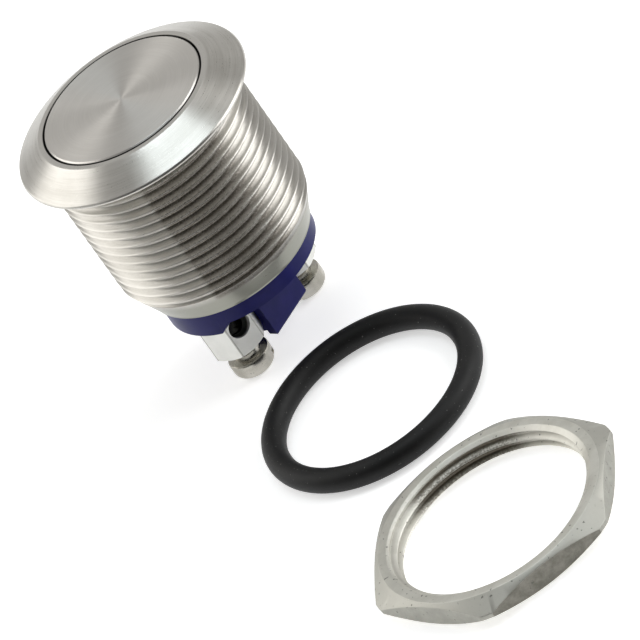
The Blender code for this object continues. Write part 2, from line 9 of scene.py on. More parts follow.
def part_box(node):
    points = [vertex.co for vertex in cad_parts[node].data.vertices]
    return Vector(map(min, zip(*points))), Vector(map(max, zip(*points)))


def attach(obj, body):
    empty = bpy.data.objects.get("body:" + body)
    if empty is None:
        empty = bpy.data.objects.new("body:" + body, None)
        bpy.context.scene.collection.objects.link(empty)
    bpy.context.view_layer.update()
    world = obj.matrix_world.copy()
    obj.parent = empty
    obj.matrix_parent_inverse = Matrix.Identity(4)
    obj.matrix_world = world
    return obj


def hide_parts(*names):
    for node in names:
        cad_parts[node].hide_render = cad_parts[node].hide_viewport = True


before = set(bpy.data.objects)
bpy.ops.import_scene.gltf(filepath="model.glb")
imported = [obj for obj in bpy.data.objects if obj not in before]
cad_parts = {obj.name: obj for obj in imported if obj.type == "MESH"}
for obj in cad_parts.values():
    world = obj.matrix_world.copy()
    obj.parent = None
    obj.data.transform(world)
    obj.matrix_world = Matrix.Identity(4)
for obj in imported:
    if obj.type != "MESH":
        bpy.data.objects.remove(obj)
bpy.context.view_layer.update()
bpy.context.scene.view_settings.view_transform = "Standard"

MM = 0.001

# Places, from the model
HOUSING_LOW, HOUSING_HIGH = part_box("housing")
AXIS = (HOUSING_LOW + HOUSING_HIGH) / 2
AXIS.z = 0
SEAL_LOW, SEAL_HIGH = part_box("panel_seal_ring")
SEAL_MIDDLE = (SEAL_LOW + SEAL_HIGH) / 2
NUT_LOW, NUT_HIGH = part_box("panel_nut")
NUT_MIDDLE = (NUT_LOW + NUT_HIGH) / 2
NUT_MIDDLE.z = 0
SCREW_BOXES = [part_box(f"terminal_screw_{number}") for number in (1, 2)]
TERMINALS = [Vector(((low.x + high.x) / 2, (low.y + high.y) / 2, 0)) for low, high in SCREW_BOXES]

# Heights on the switch
BEZEL_TOP = HOUSING_HIGH.z
SEAT = BEZEL_TOP - 2.05 * MM
WEB_TOP = SEAT - 5.5 * MM
WEB_BOTTOM = SEAT - 7.0 * MM
THREAD_TOP = SEAT - 0.4 * MM
TAPER_TOP = SEAT - 13.35 * MM
HOUSING_END = HOUSING_LOW.z
RUN_OUT = TAPER_TOP - 1.55 * MM
CAP_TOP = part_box("button_cap")[1].z
CAP_BOTTOM = CAP_TOP - 3.75 * MM
STEM_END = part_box("button_cap")[0].z
BASE_BOTTOM = HOUSING_END - 2.6 * MM
BASE_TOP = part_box("base")[1].z
FLOOR_TOP = HOUSING_END + 2.3 * MM
BARRIER_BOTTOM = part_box("base")[0].z
POST_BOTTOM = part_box("terminal_post_1")[0].z
POST_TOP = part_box("terminal_post_1")[1].z
POCKET_CEILING = POST_BOTTOM + 5.0 * MM
WIRE_HOLE_HEIGHT = POCKET_CEILING - 2.2 * MM
SCREW_TOP = SCREW_BOXES[0][1].z

# Sizes of the switch
TERMINAL_OFFSET = (TERMINALS[1] - TERMINALS[0]).length / 2
BEZEL_RADIUS = 11.1 * MM
BEZEL_EDGE = 0.35 * MM
BEZEL_LAND = 0.5 * MM
BORE_RADIUS = 7.7 * MM
STEM_BORE = 3.08 * MM
CAP_RADIUS = 7.6 * MM
STEM_RADIUS = 3.0 * MM
STEM_SOCKET = 1.65 * MM
THREAD_RADIUS = 9.4 * MM
THREAD_ROOT = 8.8 * MM
THREAD_PITCH = 1.0 * MM
PLAIN_END_RADIUS = 8.0 * MM
CAVITY_RADIUS = 7.4 * MM
BASE_RADIUS = 7.6 * MM
SPIGOT_RADIUS = 7.3 * MM
SPIGOT_BORE = 6.5 * MM
STEP_HEIGHT = 0.95 * MM
BARRIER_WIDTH = 5.2 * MM
BARRIER_LENGTH = 4.7 * MM
POST_WIDTH = 4.6 * MM
POST_SHANK = 1.1 * MM
SCREW_SHANK = 1.25 * MM
SCREW_HEAD = 2.0 * MM
SCREW_HEAD_HEIGHT = 1.9 * MM
TERMINAL_TURN = math.radians(36)
WIRE_SPLAY = math.radians(17.5)
SLOT_TURNS = (math.radians(-22), math.radians(50))

# Sizes of the loose pieces
SEAL_SECTION = SEAL_HIGH.z / 2
SEAL_RADIUS = (SEAL_HIGH.x - SEAL_LOW.x) / 2 - SEAL_SECTION
NUT_BORE = 8.9 * MM
NUT_WIDTH = 21.5 * MM
NUT_HEIGHT = NUT_HIGH.z
NUT_FACE = 10.4 * MM
NUT_CORNER = 12.1 * MM
NUT_LEAD = 0.7 * MM
NUT_TURN = math.radians(5)
NUT_FRONT_FLAT_WAY = (math.sin(NUT_TURN), -math.cos(NUT_TURN), 0.0)

# Steps of a full turn, and how near two vertices are one
FINE = 144
SMALL = 72
SAME_PLACE = 0.0005 * MM

# The light: distance and aim of the lamps in metres, brightness of the tent and of the floor where it is seen
SOFTBOX_DISTANCE = 0.5
SOFTBOX_AIM = 15 * MM
DARK_SIDE = 0.05
PALE_SIDE = 0.42
BACK_EXTRA = 0.16
FLOOR_LIFT = 0.52

# Degrees over which the painted dark reflection on the barrel's front comes and goes, from -Y, and the nut's
# painted far shade, from +X
THREAD_FRONT = (-23, -19, 28, 43)
NUT_FAR = (45, 65, 112, 128)

# Colours of painted shade and reflection, some mixed with dirt, and of darker post edges, and how far painted
# shade darkens the gap round the cap
GAP_SHADE_SHARE = 0.95
GAP_SHADE = (0.02, 0.02, 0.018)
THREAD_DIRT_AND_SHADE = (0.15, 0.135, 0.115)
END_SHADE = (0.31, 0.31, 0.27)
NUT_SLANT_SHADE = (0.44, 0.435, 0.395)
NUT_FLAT_SHADES = ((0.36, 0.355, 0.32), (0.42, 0.415, 0.375))
NUT_FRONT_SHADES = ((0.17, 0.165, 0.14), (0.255, 0.245, 0.215))
NUT_FAR_SHADE = (0.17, 0.15, 0.12)
NUT_FLOOR_SHADE = (0.13, 0.115, 0.09)
SHANK_SHADE = (0.03, 0.03, 0.025)
POST_EDGE = (0.25, 0.245, 0.22)
POST_INSIDE_SHADE = (0.05, 0.055, 0.045)


# The camera and the light

def look_from(azimuth, elevation, roll, lens, place):
    """The camera at the photograph's viewing angle."""
    made = bpy.data.cameras.new("camera")
    made.sensor_width = 36
    made.lens = lens
    made.clip_start = 0.05
    made.clip_end = 10
    camera = bpy.data.objects.new("camera", made)
    bpy.context.collection.objects.link(camera)
    around = Matrix.Rotation(math.radians(azimuth), 4, "Z")
    down = Matrix.Rotation(math.radians(90 - elevation), 4, "X")
    tilt = Matrix.Rotation(math.radians(roll), 4, "Z")
    camera.matrix_world = Matrix.Translation(place) @ (around @ down) @ tilt
    bpy.context.scene.camera = camera


def softbox(name, azimuth, elevation, width, height, power, colour):
    """A large lamp that faces the switch from a direction, in degrees from +X and from the floor."""
    across = math.cos(math.radians(elevation)) * SOFTBOX_DISTANCE
    place = Vector((AXIS.x + across * math.cos(math.radians(azimuth)),
                    AXIS.y + across * math.sin(math.radians(azimuth)),
                    SOFTBOX_DISTANCE * math.sin(math.radians(elevation))))
    lamp = bpy.data.lights.new(name, "AREA")
    lamp.shape = "RECTANGLE"
    lamp.size = width
    lamp.size_y = height
    lamp.energy = power
    lamp.color = colour
    made = bpy.data.objects.new(name, lamp)
    bpy.context.collection.objects.link(made)
    made.location = place
    towards = Vector((AXIS.x, AXIS.y, SOFTBOX_AIM)) - place
    made.rotation_euler = towards.to_track_quat("-Z", "Y").to_euler()


def white_for_seen_rays(nodes, links):
    """1 for the rays that show a background: from the camera, in a reflection or through glass."""
    path = nodes.new("ShaderNodeLightPath")
    first = nodes.new("ShaderNodeMath")
    first.operation = "MAXIMUM"
    links.new(path.outputs["Is Camera Ray"], first.inputs[0])
    links.new(path.outputs["Is Glossy Ray"], first.inputs[1])
    both = nodes.new("ShaderNodeMath")
    both.operation = "MAXIMUM"
    links.new(first.outputs[0], both.inputs[0])
    links.new(path.outputs["Is Transmission Ray"], both.inputs[1])
    return both.outputs[0]


def add_floor():
    """Plain white paper, lifted to white where it is seen, so that only the shadow shows on it."""
    bpy.ops.mesh.primitive_plane_add(size=4, location=(0, 0, -0.02 * MM))
    floor = bpy.context.object
    floor.name = "floor"
    made = bpy.data.materials.new("floor_paper")
    made.use_nodes = True
    nodes, links = made.node_tree.nodes, made.node_tree.links
    shader = nodes["Principled BSDF"]
    shader.inputs["Base Color"].default_value = (0.90, 0.90, 0.90, 1)
    shader.inputs["Roughness"].default_value = 0.9
    shader.inputs["Specular IOR Level"].default_value = 0.1
    shader.inputs["Emission Color"].default_value = (1, 1, 1, 1)
    lift = nodes.new("ShaderNodeMath")
    lift.operation = "MULTIPLY"
    links.new(white_for_seen_rays(nodes, links), lift.inputs[0])
    lift.inputs[1].default_value = FLOOR_LIFT
    links.new(lift.outputs[0], shader.inputs["Emission Strength"])
    floor.data.materials.append(made)


def light_world():
    """A pale tent round the set, dark in front of the switch and brightest behind it."""
    world = bpy.data.worlds.new("studio")
    world.use_nodes = True
    bpy.context.scene.world = world
    nodes, links = world.node_tree.nodes, world.node_tree.links
    background = nodes["Background"]
    where = nodes.new("ShaderNodeTexCoord")
    apart = nodes.new("ShaderNodeSeparateXYZ")
    links.new(where.outputs["Generated"], apart.inputs[0])
    sides, back = nodes.new("ShaderNodeMapRange"), nodes.new("ShaderNodeMapRange")
    for ramp, start, end, low, high in ((sides, -0.52, -0.30, DARK_SIDE, PALE_SIDE),
                                        (back, 0.40, 0.75, 0.0, BACK_EXTRA)):
        ramp.interpolation_type = "SMOOTHSTEP"
        for key, value in (("From Min", start), ("From Max", end), ("To Min", low), ("To Max", high)):
            ramp.inputs[key].default_value = value
        links.new(apart.outputs["Y"], ramp.inputs["Value"])
    total = nodes.new("ShaderNodeMath")
    total.operation = "ADD"
    links.new(sides.outputs["Result"], total.inputs[0])
    links.new(back.outputs["Result"], total.inputs[1])
    links.new(total.outputs[0], background.inputs["Strength"])
    background.inputs["Color"].default_value = (1.0, 0.99, 0.97, 1)


look_from(azimuth=0, elevation=33, roll=-35.3, lens=562.5,
          place=(AXIS.x + 2.947 * MM, AXIS.y - 725.544 * MM, 469.627 * MM))
add_floor()
light_world()
softbox("left_softbox", 150, 32, 0.38, 0.46, 0.85, (1.0, 0.985, 0.96))
softbox("right_softbox", -9, 30, 0.38, 0.38, 1.30, (1.0, 1.0, 1.0))
softbox("top_softbox", 14, 83, 0.13, 0.27, 0.40, (0.86, 0.95, 1.0))


# Making pieces

def pick_none():
    bpy.ops.object.select_all(action="DESELECT")


def pick(piece):
    pick_none()
    piece.select_set(True)
    bpy.context.view_layer.objects.active = piece


def edit(piece):
    pick(piece)
    bpy.ops.object.mode_set(mode="EDIT")
    bpy.ops.mesh.select_mode(type="VERT")
    bpy.ops.mesh.select_all(action="SELECT")


def leave_edit():
    bpy.ops.object.mode_set(mode="OBJECT")


def settle(piece, middle=(0, 0, 0), turn=0):
    """Put a piece that was made round the world's axis in its place, with the place in its mesh."""
    pick(piece)
    piece.location = middle
    piece.rotation_euler = (0, 0, turn)
    bpy.ops.object.transform_apply(location=True, rotation=True, scale=True)
    return piece


def choose(piece, passes):
    """In edit mode, select the vertices whose place passes a test."""
    bpy.ops.mesh.select_mode(type="VERT")
    bpy.ops.mesh.select_all(action="DESELECT")
    leave_edit()
    for vert in piece.data.vertices:
        vert.select = passes(vert.co)
    bpy.ops.object.mode_set(mode="EDIT")


def apply_step(piece, kind, **values):
    """Add a modifier, set it and apply it."""
    pick(piece)
    step = piece.modifiers.new(kind.lower(), kind)
    for key, value in values.items():
        setattr(step, key, value)
    bpy.ops.object.modifier_apply(modifier=step.name)


def cut(piece, tool, operation="DIFFERENCE", solver="EXACT"):
    apply_step(piece, "BOOLEAN", operation=operation, solver=solver, object=tool)
    bpy.data.objects.remove(tool)


def even_shading(piece, angle=35):
    """Smooth shading that keeps flat faces flat beside their small rounded edges."""
    pick(piece)
    bpy.ops.object.shade_smooth_by_angle(angle=math.radians(angle))
    apply_step(piece, "WEIGHTED_NORMAL", mode="FACE_AREA", keep_sharp=True)


def drawn_line(name, points):
    """A line of (radius, height) points in the plane of X and Z, drawn by extruding one vertex."""
    pick_none()
    radius, height = points[0]
    bpy.ops.mesh.primitive_plane_add(size=MM, location=(radius, 0, height))
    piece = bpy.context.object
    piece.name = name
    bpy.ops.object.transform_apply(location=True)
    edit(piece)
    bpy.ops.mesh.merge(type="CENTER")
    for (radius, height), (next_radius, next_height) in zip(points, points[1:]):
        step = (next_radius - radius, 0, next_height - height)
        bpy.ops.mesh.extrude_region_move(TRANSFORM_OT_translate={"value": step})
    return piece


def turned(name, points, steps=FINE):
    """Turn a line of (radius, height) points about the upright axis."""
    piece = drawn_line(name, points)
    bpy.ops.mesh.select_all(action="SELECT")
    bpy.ops.mesh.spin(steps=steps, angle=2 * math.pi, center=(0, 0, 0), axis=(0, 0, 1))
    bpy.ops.mesh.select_all(action="SELECT")
    bpy.ops.mesh.remove_doubles(threshold=SAME_PLACE)
    bpy.ops.mesh.normals_make_consistent(inside=False)
    leave_edit()
    return piece


def softened(points, radius, steps=3, closed=True):
    """Round the corners of a line: each becomes a short curve, no longer than its sides allow."""
    made = []
    count = len(points)
    for index, (x, z) in enumerate(points):
        if not closed and index in (0, count - 1):
            made.append((x, z))
            continue
        here = Vector((x, z))
        before = Vector(points[index - 1])
        after = Vector(points[(index + 1) % count])
        reach_in = min(radius, 0.4 * (before - here).length)
        reach_out = min(radius, 0.4 * (after - here).length)
        start = here + (before - here).normalized() * reach_in
        end = here + (after - here).normalized() * reach_out
        for step in range(steps + 1):
            share = step / steps
            point = start * (1 - share) ** 2 + here * 2 * share * (1 - share) + end * share ** 2
            made.append((point.x, point.y))
    return made


def looped(points):
    return points + [points[0]]


def helix(name, section, low, turns, pitch, steps=FINE):
    """A tool whose closed section is wound up a helix from the given height."""
    tool = drawn_line(name, looped([(radius, low + rise) for radius, rise in section]))
    bpy.ops.mesh.select_all(action="SELECT")
    bpy.ops.mesh.remove_doubles(threshold=SAME_PLACE)
    leave_edit()
    apply_step(tool, "SCREW", axis="Z", angle=2 * math.pi, screw_offset=pitch, iterations=turns,
               steps=steps, render_steps=steps, use_merge_vertices=False)
    edit(tool)
    bpy.ops.mesh.select_all(action="DESELECT")
    bpy.ops.mesh.select_mode(type="EDGE")
    bpy.ops.mesh.select_non_manifold()
    bpy.ops.mesh.fill_holes(sides=0)
    bpy.ops.mesh.select_all(action="SELECT")
    bpy.ops.mesh.normals_make_consistent(inside=False)
    leave_edit()
    return tool


def groove_section(root, crest, pitch):
    """The section of a thread groove: a narrow floor, two flanks, and lips that leave a rounded crest.
    Its lower half is given as shares of the depth and, for each, half the width in pitches."""
    depth = crest - root
    floor = [(0.00, 0.07), (0.05, 0.15)]
    flank = [(0.72, 0.37)]
    lip = [(0.86, 0.41), (0.95, 0.45), (1.00, 0.49), (1.45, 0.49)]
    lower = [(root + share * depth, -width * pitch) for share, width in floor + flank + lip]
    upper = [(radius, -rise) for radius, rise in reversed(lower)]
    return lower + upper


def hexagon(name, width, low, high, turn=0):
    """A hexagonal prism of a width across its flats, with one flat facing +X before its turn."""
    pick_none()
    bpy.ops.mesh.primitive_cylinder_add(vertices=6, radius=width / math.sqrt(3), depth=high - low,
                                        location=(0, 0, (low + high) / 2), rotation=(0, 0, turn))
    piece = bpy.context.object
    piece.name = name
    bpy.ops.object.transform_apply(location=True, rotation=True, scale=True)
    return piece


def bar(name, size, centre):
    pick_none()
    bpy.ops.mesh.primitive_cube_add(size=1, location=centre, scale=size)
    piece = bpy.context.object
    piece.name = name
    bpy.ops.object.transform_apply(location=True, rotation=True, scale=True)
    return piece


def round_bar(name, radius, low, high, steps=SMALL):
    return turned(name, [(0, low), (radius, low), (radius, high), (0, high)], steps)


def dress(piece, name, body, finish, node):
    """Give a finished piece its name, body and finish, and hide the part of the model that it stands for."""
    piece.name = name
    piece.data.name = name
    piece.data.materials.clear()
    piece.data.materials.append(finish)
    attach(piece, body)
    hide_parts(node)


# Finishes

class Sheet:
    """The nodes of one material, with short calls for the ones that repeat."""

    def __init__(self, name):
        self.made = bpy.data.materials.new(name)
        self.made.use_nodes = True
        self.nodes = self.made.node_tree.nodes
        self.links = self.made.node_tree.links
        self.shader = self.nodes["Principled BSDF"]
        self.place = self.nodes.new("ShaderNodeTexCoord").outputs["Object"]
        self.grain = None

    def put(self, socket, value):
        if isinstance(value, bpy.types.NodeSocket):
            self.links.new(value, socket)
        elif isinstance(value, tuple) and len(value) == 3 and socket.type == "RGBA":
            socket.default_value = (*value, 1)
        else:
            socket.default_value = value

    def set(self, **values):
        for key, value in values.items():
            self.put(self.shader.inputs[key.replace("_", " ")], value)

    def math(self, operation, first, second=0.0, third=None):
        node = self.nodes.new("ShaderNodeMath")
        node.operation = operation
        self.put(node.inputs[0], first)
        self.put(node.inputs[1], second)
        if third is not None:
            self.put(node.inputs[2], third)
        return node.outputs[0]

    def vector(self, operation, first, second=None):
        node = self.nodes.new("ShaderNodeVectorMath")
        node.operation = operation
        self.put(node.inputs[0], first)
        if second is not None:
            self.put(node.inputs[1], second)
        return node.outputs["Value" if operation in ("LENGTH", "DOT_PRODUCT") else "Vector"]

    def times(self, first, *others):
        for other in others:
            first = self.math("MULTIPLY", first, other)
        return first

    def split(self, vector):
        node = self.nodes.new("ShaderNodeSeparateXYZ")
        self.put(node.inputs[0], vector)
        return node.outputs

    def join(self, x, y, z):
        node = self.nodes.new("ShaderNodeCombineXYZ")
        for socket, value in zip(node.inputs, (x, y, z)):
            self.put(socket, value)
        return node.outputs[0]

    def about(self, middle):
        """The place on the piece from an upright axis, its x, y and z, and how far it is from the axis."""
        place = self.vector("SUBTRACT", self.place, (middle[0], middle[1], 0))
        x, y, z = self.split(place)
        return place, x, y, z, self.vector("LENGTH", self.join(x, y, 0.0))

    def noise(self, vector, scale, detail=3.0, roughness=0.55):
        node = self.nodes.new("ShaderNodeTexNoise")
        self.put(node.inputs["Vector"], vector)
        node.inputs["Scale"].default_value = scale
        node.inputs["Detail"].default_value = detail
        node.inputs["Roughness"].default_value = roughness
        return node.outputs["Fac"]

    def span(self, value, low, high, to_low=0.0, to_high=1.0):
        """A smooth step from one number to another, between two values."""
        node = self.nodes.new("ShaderNodeMapRange")
        node.interpolation_type = "SMOOTHSTEP"
        self.put(node.inputs["Value"], value)
        for key, number in (("From Min", low), ("From Max", high), ("To Min", to_low), ("To Max", to_high)):
            self.put(node.inputs[key], number)
        return node.outputs["Result"]

    def band(self, value, start, full, until, end):
        """1 from full to until, with soft ends that reach 0 at start and end."""
        return self.times(self.span(value, start, full), self.span(value, until, end, 1.0, 0.0))

    def mix(self, share, first, second):
        node = self.nodes.new("ShaderNodeMix")
        node.data_type = "RGBA"
        self.put(node.inputs["Factor"], share)
        inputs = [socket for socket in node.inputs if socket.type == "RGBA"]
        self.put(inputs[0], first)
        self.put(inputs[1], second)
        return [socket for socket in node.outputs if socket.type == "RGBA"][0]

    def bump(self, height, depth):
        """A bump of the given real depth."""
        node = self.nodes.new("ShaderNodeBump")
        node.inputs["Strength"].default_value = 1.0
        node.inputs["Distance"].default_value = depth
        self.put(node.inputs["Height"], height)
        return node.outputs["Normal"]


def turned_metal(name, light, dark, roughness, anisotropic, marks, depth, gap, thread=None):
    """Lathe-turned metal: fine rings round the switch's axis, and a sheen that spreads across them.
    Painted shade darkens the gap between two radii, above a height. With a thread, given by the radii of its
    floor and crest and by its two ends, the floors get painted shade mixed with dirt, darkest in front,
    where a speckled painted dark reflection lies, and the end gets painted shade."""
    sheet = Sheet(name)
    place, x, y, z, radius = sheet.about(AXIS)
    line = sheet.math("MULTIPLY_ADD", z, -1.4, radius)
    along = sheet.join(line, sheet.times(x, 0.03), sheet.times(y, 0.03))
    rings = sheet.noise(along, marks, 3.0, 0.7)
    broad = sheet.noise(along, marks / 6, 2.0)
    cloud = sheet.noise(place, 260, 4.0, 0.6)
    grain = sheet.noise(place, 7000, 2.0, 0.6)
    tone = sheet.math("MULTIPLY_ADD", broad, 0.3, sheet.times(cloud, 0.4))
    tone = sheet.math("MULTIPLY_ADD", rings, 0.5, tone)
    colour = sheet.mix(sheet.span(tone, 0.40, 0.80), dark, light)
    if thread:
        root, crest, low, high = thread
        # Painted shade in the thread floors, mixed with dirt, and a speckled painted dark reflection on the
        # front
        inside = sheet.band(z, low, low + 0.6 * MM, high, high + 0.1 * MM)
        turn = sheet.math("ARCTAN2", x, sheet.times(y, -1.0))
        front = sheet.band(turn, *map(math.radians, THREAD_FRONT))
        floors = sheet.times(sheet.span(radius, root, crest, 1.0, 0.0), inside,
                             sheet.math("MULTIPLY_ADD", front, 0.70, 0.30),
                             sheet.span(grain, 0.30, 0.62, 0.70, 1.0))
        painted_specks = sheet.times(front, inside, sheet.span(grain, 0.46, 0.60, 0.0, 0.55))
        # Painted shade on the tapered end below the thread, for the shadowed floor that it reflects
        colour = sheet.mix(sheet.span(z, low, low + 0.8 * MM, 1.0, 0.0), colour, END_SHADE)
        colour = sheet.mix(sheet.span(z, BEZEL_TOP - 0.12 * MM, BEZEL_TOP - 0.04 * MM), colour, light)
        colour = sheet.mix(sheet.math("MAXIMUM", floors, painted_specks), colour, THREAD_DIRT_AND_SHADE)
    gap_start, gap_end, gap_low = gap
    # Painted shade in the gap round the cap, between two radii, above a height
    near = sheet.times(sheet.span(z, gap_low, gap_low + 0.05 * MM), GAP_SHADE_SHARE,
                       sheet.span(radius, gap_start, gap_end))
    colour = sheet.mix(near, colour, GAP_SHADE)
    sheet.set(Base_Color=colour, Metallic=1.0, Anisotropic=anisotropic, Anisotropic_Rotation=0.25,
              Roughness=sheet.math("MULTIPLY_ADD", sheet.math("ADD", rings, grain), 0.10, roughness - 0.10),
              Tangent=sheet.vector("CROSS_PRODUCT", (0.0, 0.0, 1.0), place),
              Normal=sheet.bump(sheet.math("MULTIPLY_ADD", grain, 0.35, rings), depth))
    return sheet.made


def plated_metal(name, light, dark, roughness, grain_scale, depth, pits=0.0, shade=None):
    """Plated metal: soft clouds in its tone, a fine grain, and small pits. A shade darkens some places."""
    sheet = Sheet(name)
    cloud = sheet.noise(sheet.place, 420, 4.0, 0.6)
    sheet.grain = sheet.noise(sheet.place, grain_scale, 3.0, 0.6)
    hollow = sheet.times(sheet.span(sheet.noise(sheet.place, 2600, 2.0, 0.5), 0.66, 0.74), pits)
    colour = sheet.mix(sheet.span(cloud, 0.35, 0.65), dark, light)
    if shade:
        colour = shade(sheet, colour)
    colour = sheet.mix(hollow, colour, tuple(0.2 * part for part in dark))
    sheet.set(Base_Color=colour, Metallic=1.0,
              Roughness=sheet.math("MULTIPLY_ADD", sheet.grain, 0.14, roughness - 0.07),
              Normal=sheet.bump(sheet.math("SUBTRACT", sheet.times(sheet.grain, 0.5), hollow), depth))
    return sheet.made


def nut_shade(sheet, colour):
    """Painted shade on the top chamfer, on the flats, most on the front right one, and on the thread inside.
    """
    place, x, y, z, radius = sheet.about(NUT_MIDDLE)
    normal = sheet.nodes.new("ShaderNodeNewGeometry").outputs["True Normal"]
    upright = sheet.math("ABSOLUTE", sheet.split(normal)[2])
    # Painted shade on the top chamfer and on the flats, darkest on the flat that faces the front
    slanted = sheet.times(sheet.span(radius, 10.38 * MM, 10.46 * MM), sheet.span(z, 1.1 * MM, 1.3 * MM), 0.8)
    flat = sheet.times(sheet.span(upright, 0.05, 0.35, 1.0, 0.0), sheet.span(radius, 10.2 * MM, 10.5 * MM))
    front_flat_shade = sheet.times(sheet.span(sheet.vector("DOT_PRODUCT", normal, NUT_FRONT_FLAT_WAY), 0.90, 0.95), flat)
    mottle = sheet.span(sheet.noise(place, 900, 4.0, 0.7), 0.35, 0.68)
    colour = sheet.mix(slanted, colour, NUT_SLANT_SHADE)
    colour = sheet.mix(flat, colour, sheet.mix(mottle, *NUT_FLAT_SHADES))
    colour = sheet.mix(front_flat_shade, colour, sheet.mix(mottle, *NUT_FRONT_SHADES))
    # Painted shade in the thread floors, more on the far side of the bore, and speckled painted shade on that
    # far side
    deep = sheet.band(radius, 9.0 * MM, 9.3 * MM, 9.5 * MM, 9.7 * MM)
    between = sheet.band(z, 0.35 * MM, 0.5 * MM, NUT_HEIGHT - 0.5 * MM, NUT_HEIGHT - 0.35 * MM)
    far = sheet.band(sheet.math("ARCTAN2", y, x), *map(math.radians, NUT_FAR))
    far_speckled_shade = sheet.times(between, far, sheet.span(sheet.grain, 0.35, 0.62, 0.0, 0.7),
                          sheet.span(radius, 9.7 * MM, 9.8 * MM, 1.0, 0.0))
    colour = sheet.mix(far_speckled_shade, colour, NUT_FAR_SHADE)
    floors = sheet.times(deep, between, sheet.math("MULTIPLY_ADD", far, 0.65, 0.3))
    return sheet.mix(floors, colour, NUT_FLOOR_SHADE)


def screw_shade(sheet, colour):
    """Painted shade on the shank of the screws where it stands inside their posts."""
    height = sheet.split(sheet.place)[2]
    inside = sheet.span(height, POST_BOTTOM + 0.3 * MM, POST_BOTTOM + 0.6 * MM)
    return sheet.mix(inside, colour, SHANK_SHADE)


def post_shade(sheet, colour):
    """Painted shade inside the two posts, nearer to their axes than their flats, and their darker edges."""
    height = sheet.split(sheet.place)[2]
    nearest = sheet.math("MINIMUM", *(sheet.about(terminal)[-1] for terminal in TERMINALS))
    inside = sheet.times(sheet.span(nearest, 1.95 * MM, 2.22 * MM, 1.0, 0.0),
                         sheet.span(height, POST_BOTTOM + 0.2 * MM, POST_BOTTOM + 0.4 * MM))
    colour = sheet.mix(sheet.span(nearest, 2.60 * MM, 2.62 * MM, 0.0, 0.5), colour, POST_EDGE)
    # Painted shade inside the posts, where the wire hole is
    return sheet.mix(inside, colour, POST_INSIDE_SHADE)


def moulded_plastic(name, colour, second, roughness, depth, shine):
    """Moulded plastic with a faint mottle and the soft grain of its mould."""
    sheet = Sheet(name)
    sheet.shader.inputs["Specular IOR Level"].default_value = shine
    cloud = sheet.noise(sheet.place, 500, 3.0)
    grain = sheet.noise(sheet.place, 9000, 3.0, 0.6)
    sheet.set(Base_Color=sheet.mix(sheet.span(cloud, 0.35, 0.65), colour, second), IOR=1.53,
              Roughness=sheet.math("MULTIPLY_ADD", grain, 0.12, roughness - 0.06),
              Normal=sheet.bump(grain, depth))
    return sheet.made


def rubber():
    """Black rubber, faintly bloomed, with specks of dust."""
    sheet = Sheet("black_rubber_finish")
    cloud = sheet.noise(sheet.place, 300, 4.0)
    grain = sheet.noise(sheet.place, 8000, 3.0, 0.6)
    dust = sheet.span(sheet.noise(sheet.place, 5200, 1.0, 0.4), 0.735, 0.76)
    colour = sheet.mix(sheet.span(cloud, 0.3, 0.7), (0.004, 0.004, 0.004), (0.009, 0.009, 0.009))
    sheet.shader.inputs["Specular IOR Level"].default_value = 0.30
    sheet.set(Base_Color=sheet.mix(sheet.times(dust, 0.5), colour, (0.16, 0.16, 0.15)), IOR=1.5,
              Roughness=sheet.math("MULTIPLY_ADD", grain, 0.16, 0.46),
              Normal=sheet.bump(grain, 0.004 * MM))
    return sheet.made


# Pieces

def taper_radius(height):
    """The radius of the housing's tapered end at a height."""
    share = (TAPER_TOP - height) / (TAPER_TOP - HOUSING_END - 0.15 * MM)
    return THREAD_RADIUS + share * (PLAIN_END_RADIUS - THREAD_RADIUS)


def make_housing():
    """One turned piece: bezel, threaded barrel with its run-out on the taper, bore, web and cavity."""
    line = [
        (BORE_RADIUS, BEZEL_TOP),
        (BORE_RADIUS + BEZEL_LAND, BEZEL_TOP),
        # Three points round the bezel's rim
        (BEZEL_RADIUS - 0.11 * MM, SEAT + BEZEL_EDGE + 0.065 * MM),
        (BEZEL_RADIUS, SEAT + 0.19 * MM),
        (BEZEL_RADIUS - 0.20 * MM, SEAT),
        (THREAD_ROOT, SEAT),
        (THREAD_ROOT, THREAD_TOP),
        (THREAD_RADIUS, THREAD_TOP - 0.25 * MM),
        (THREAD_RADIUS, TAPER_TOP),
        (taper_radius(RUN_OUT), RUN_OUT),
        (PLAIN_END_RADIUS, HOUSING_END + 0.15 * MM),
        (PLAIN_END_RADIUS, HOUSING_END),
        (CAVITY_RADIUS, HOUSING_END),
        (CAVITY_RADIUS, WEB_BOTTOM),
        (STEM_BORE, WEB_BOTTOM),
        (STEM_BORE, WEB_TOP),
        (BORE_RADIUS, WEB_TOP),
    ]
    housing = turned("housing", looped(softened(line, 0.10 * MM)))
    # The groove's last turn rises out through the undercut, and is cut off just below the seat
    groove = helix("groove", groove_section(THREAD_ROOT, THREAD_RADIUS, THREAD_PITCH),
                   SEAT - 15.5 * THREAD_PITCH, 16, THREAD_PITCH)
    cut(groove, round_bar("above_seat", BEZEL_RADIUS, SEAT - 0.05 * MM, SEAT + 2 * MM), solver="MANIFOLD")
    cut(housing, groove, solver="MANIFOLD")
    settle(housing, AXIS)
    even_shading(housing, 42)
    dress(housing, "threaded_housing", "switch_set", TURNED_STEEL, "housing")


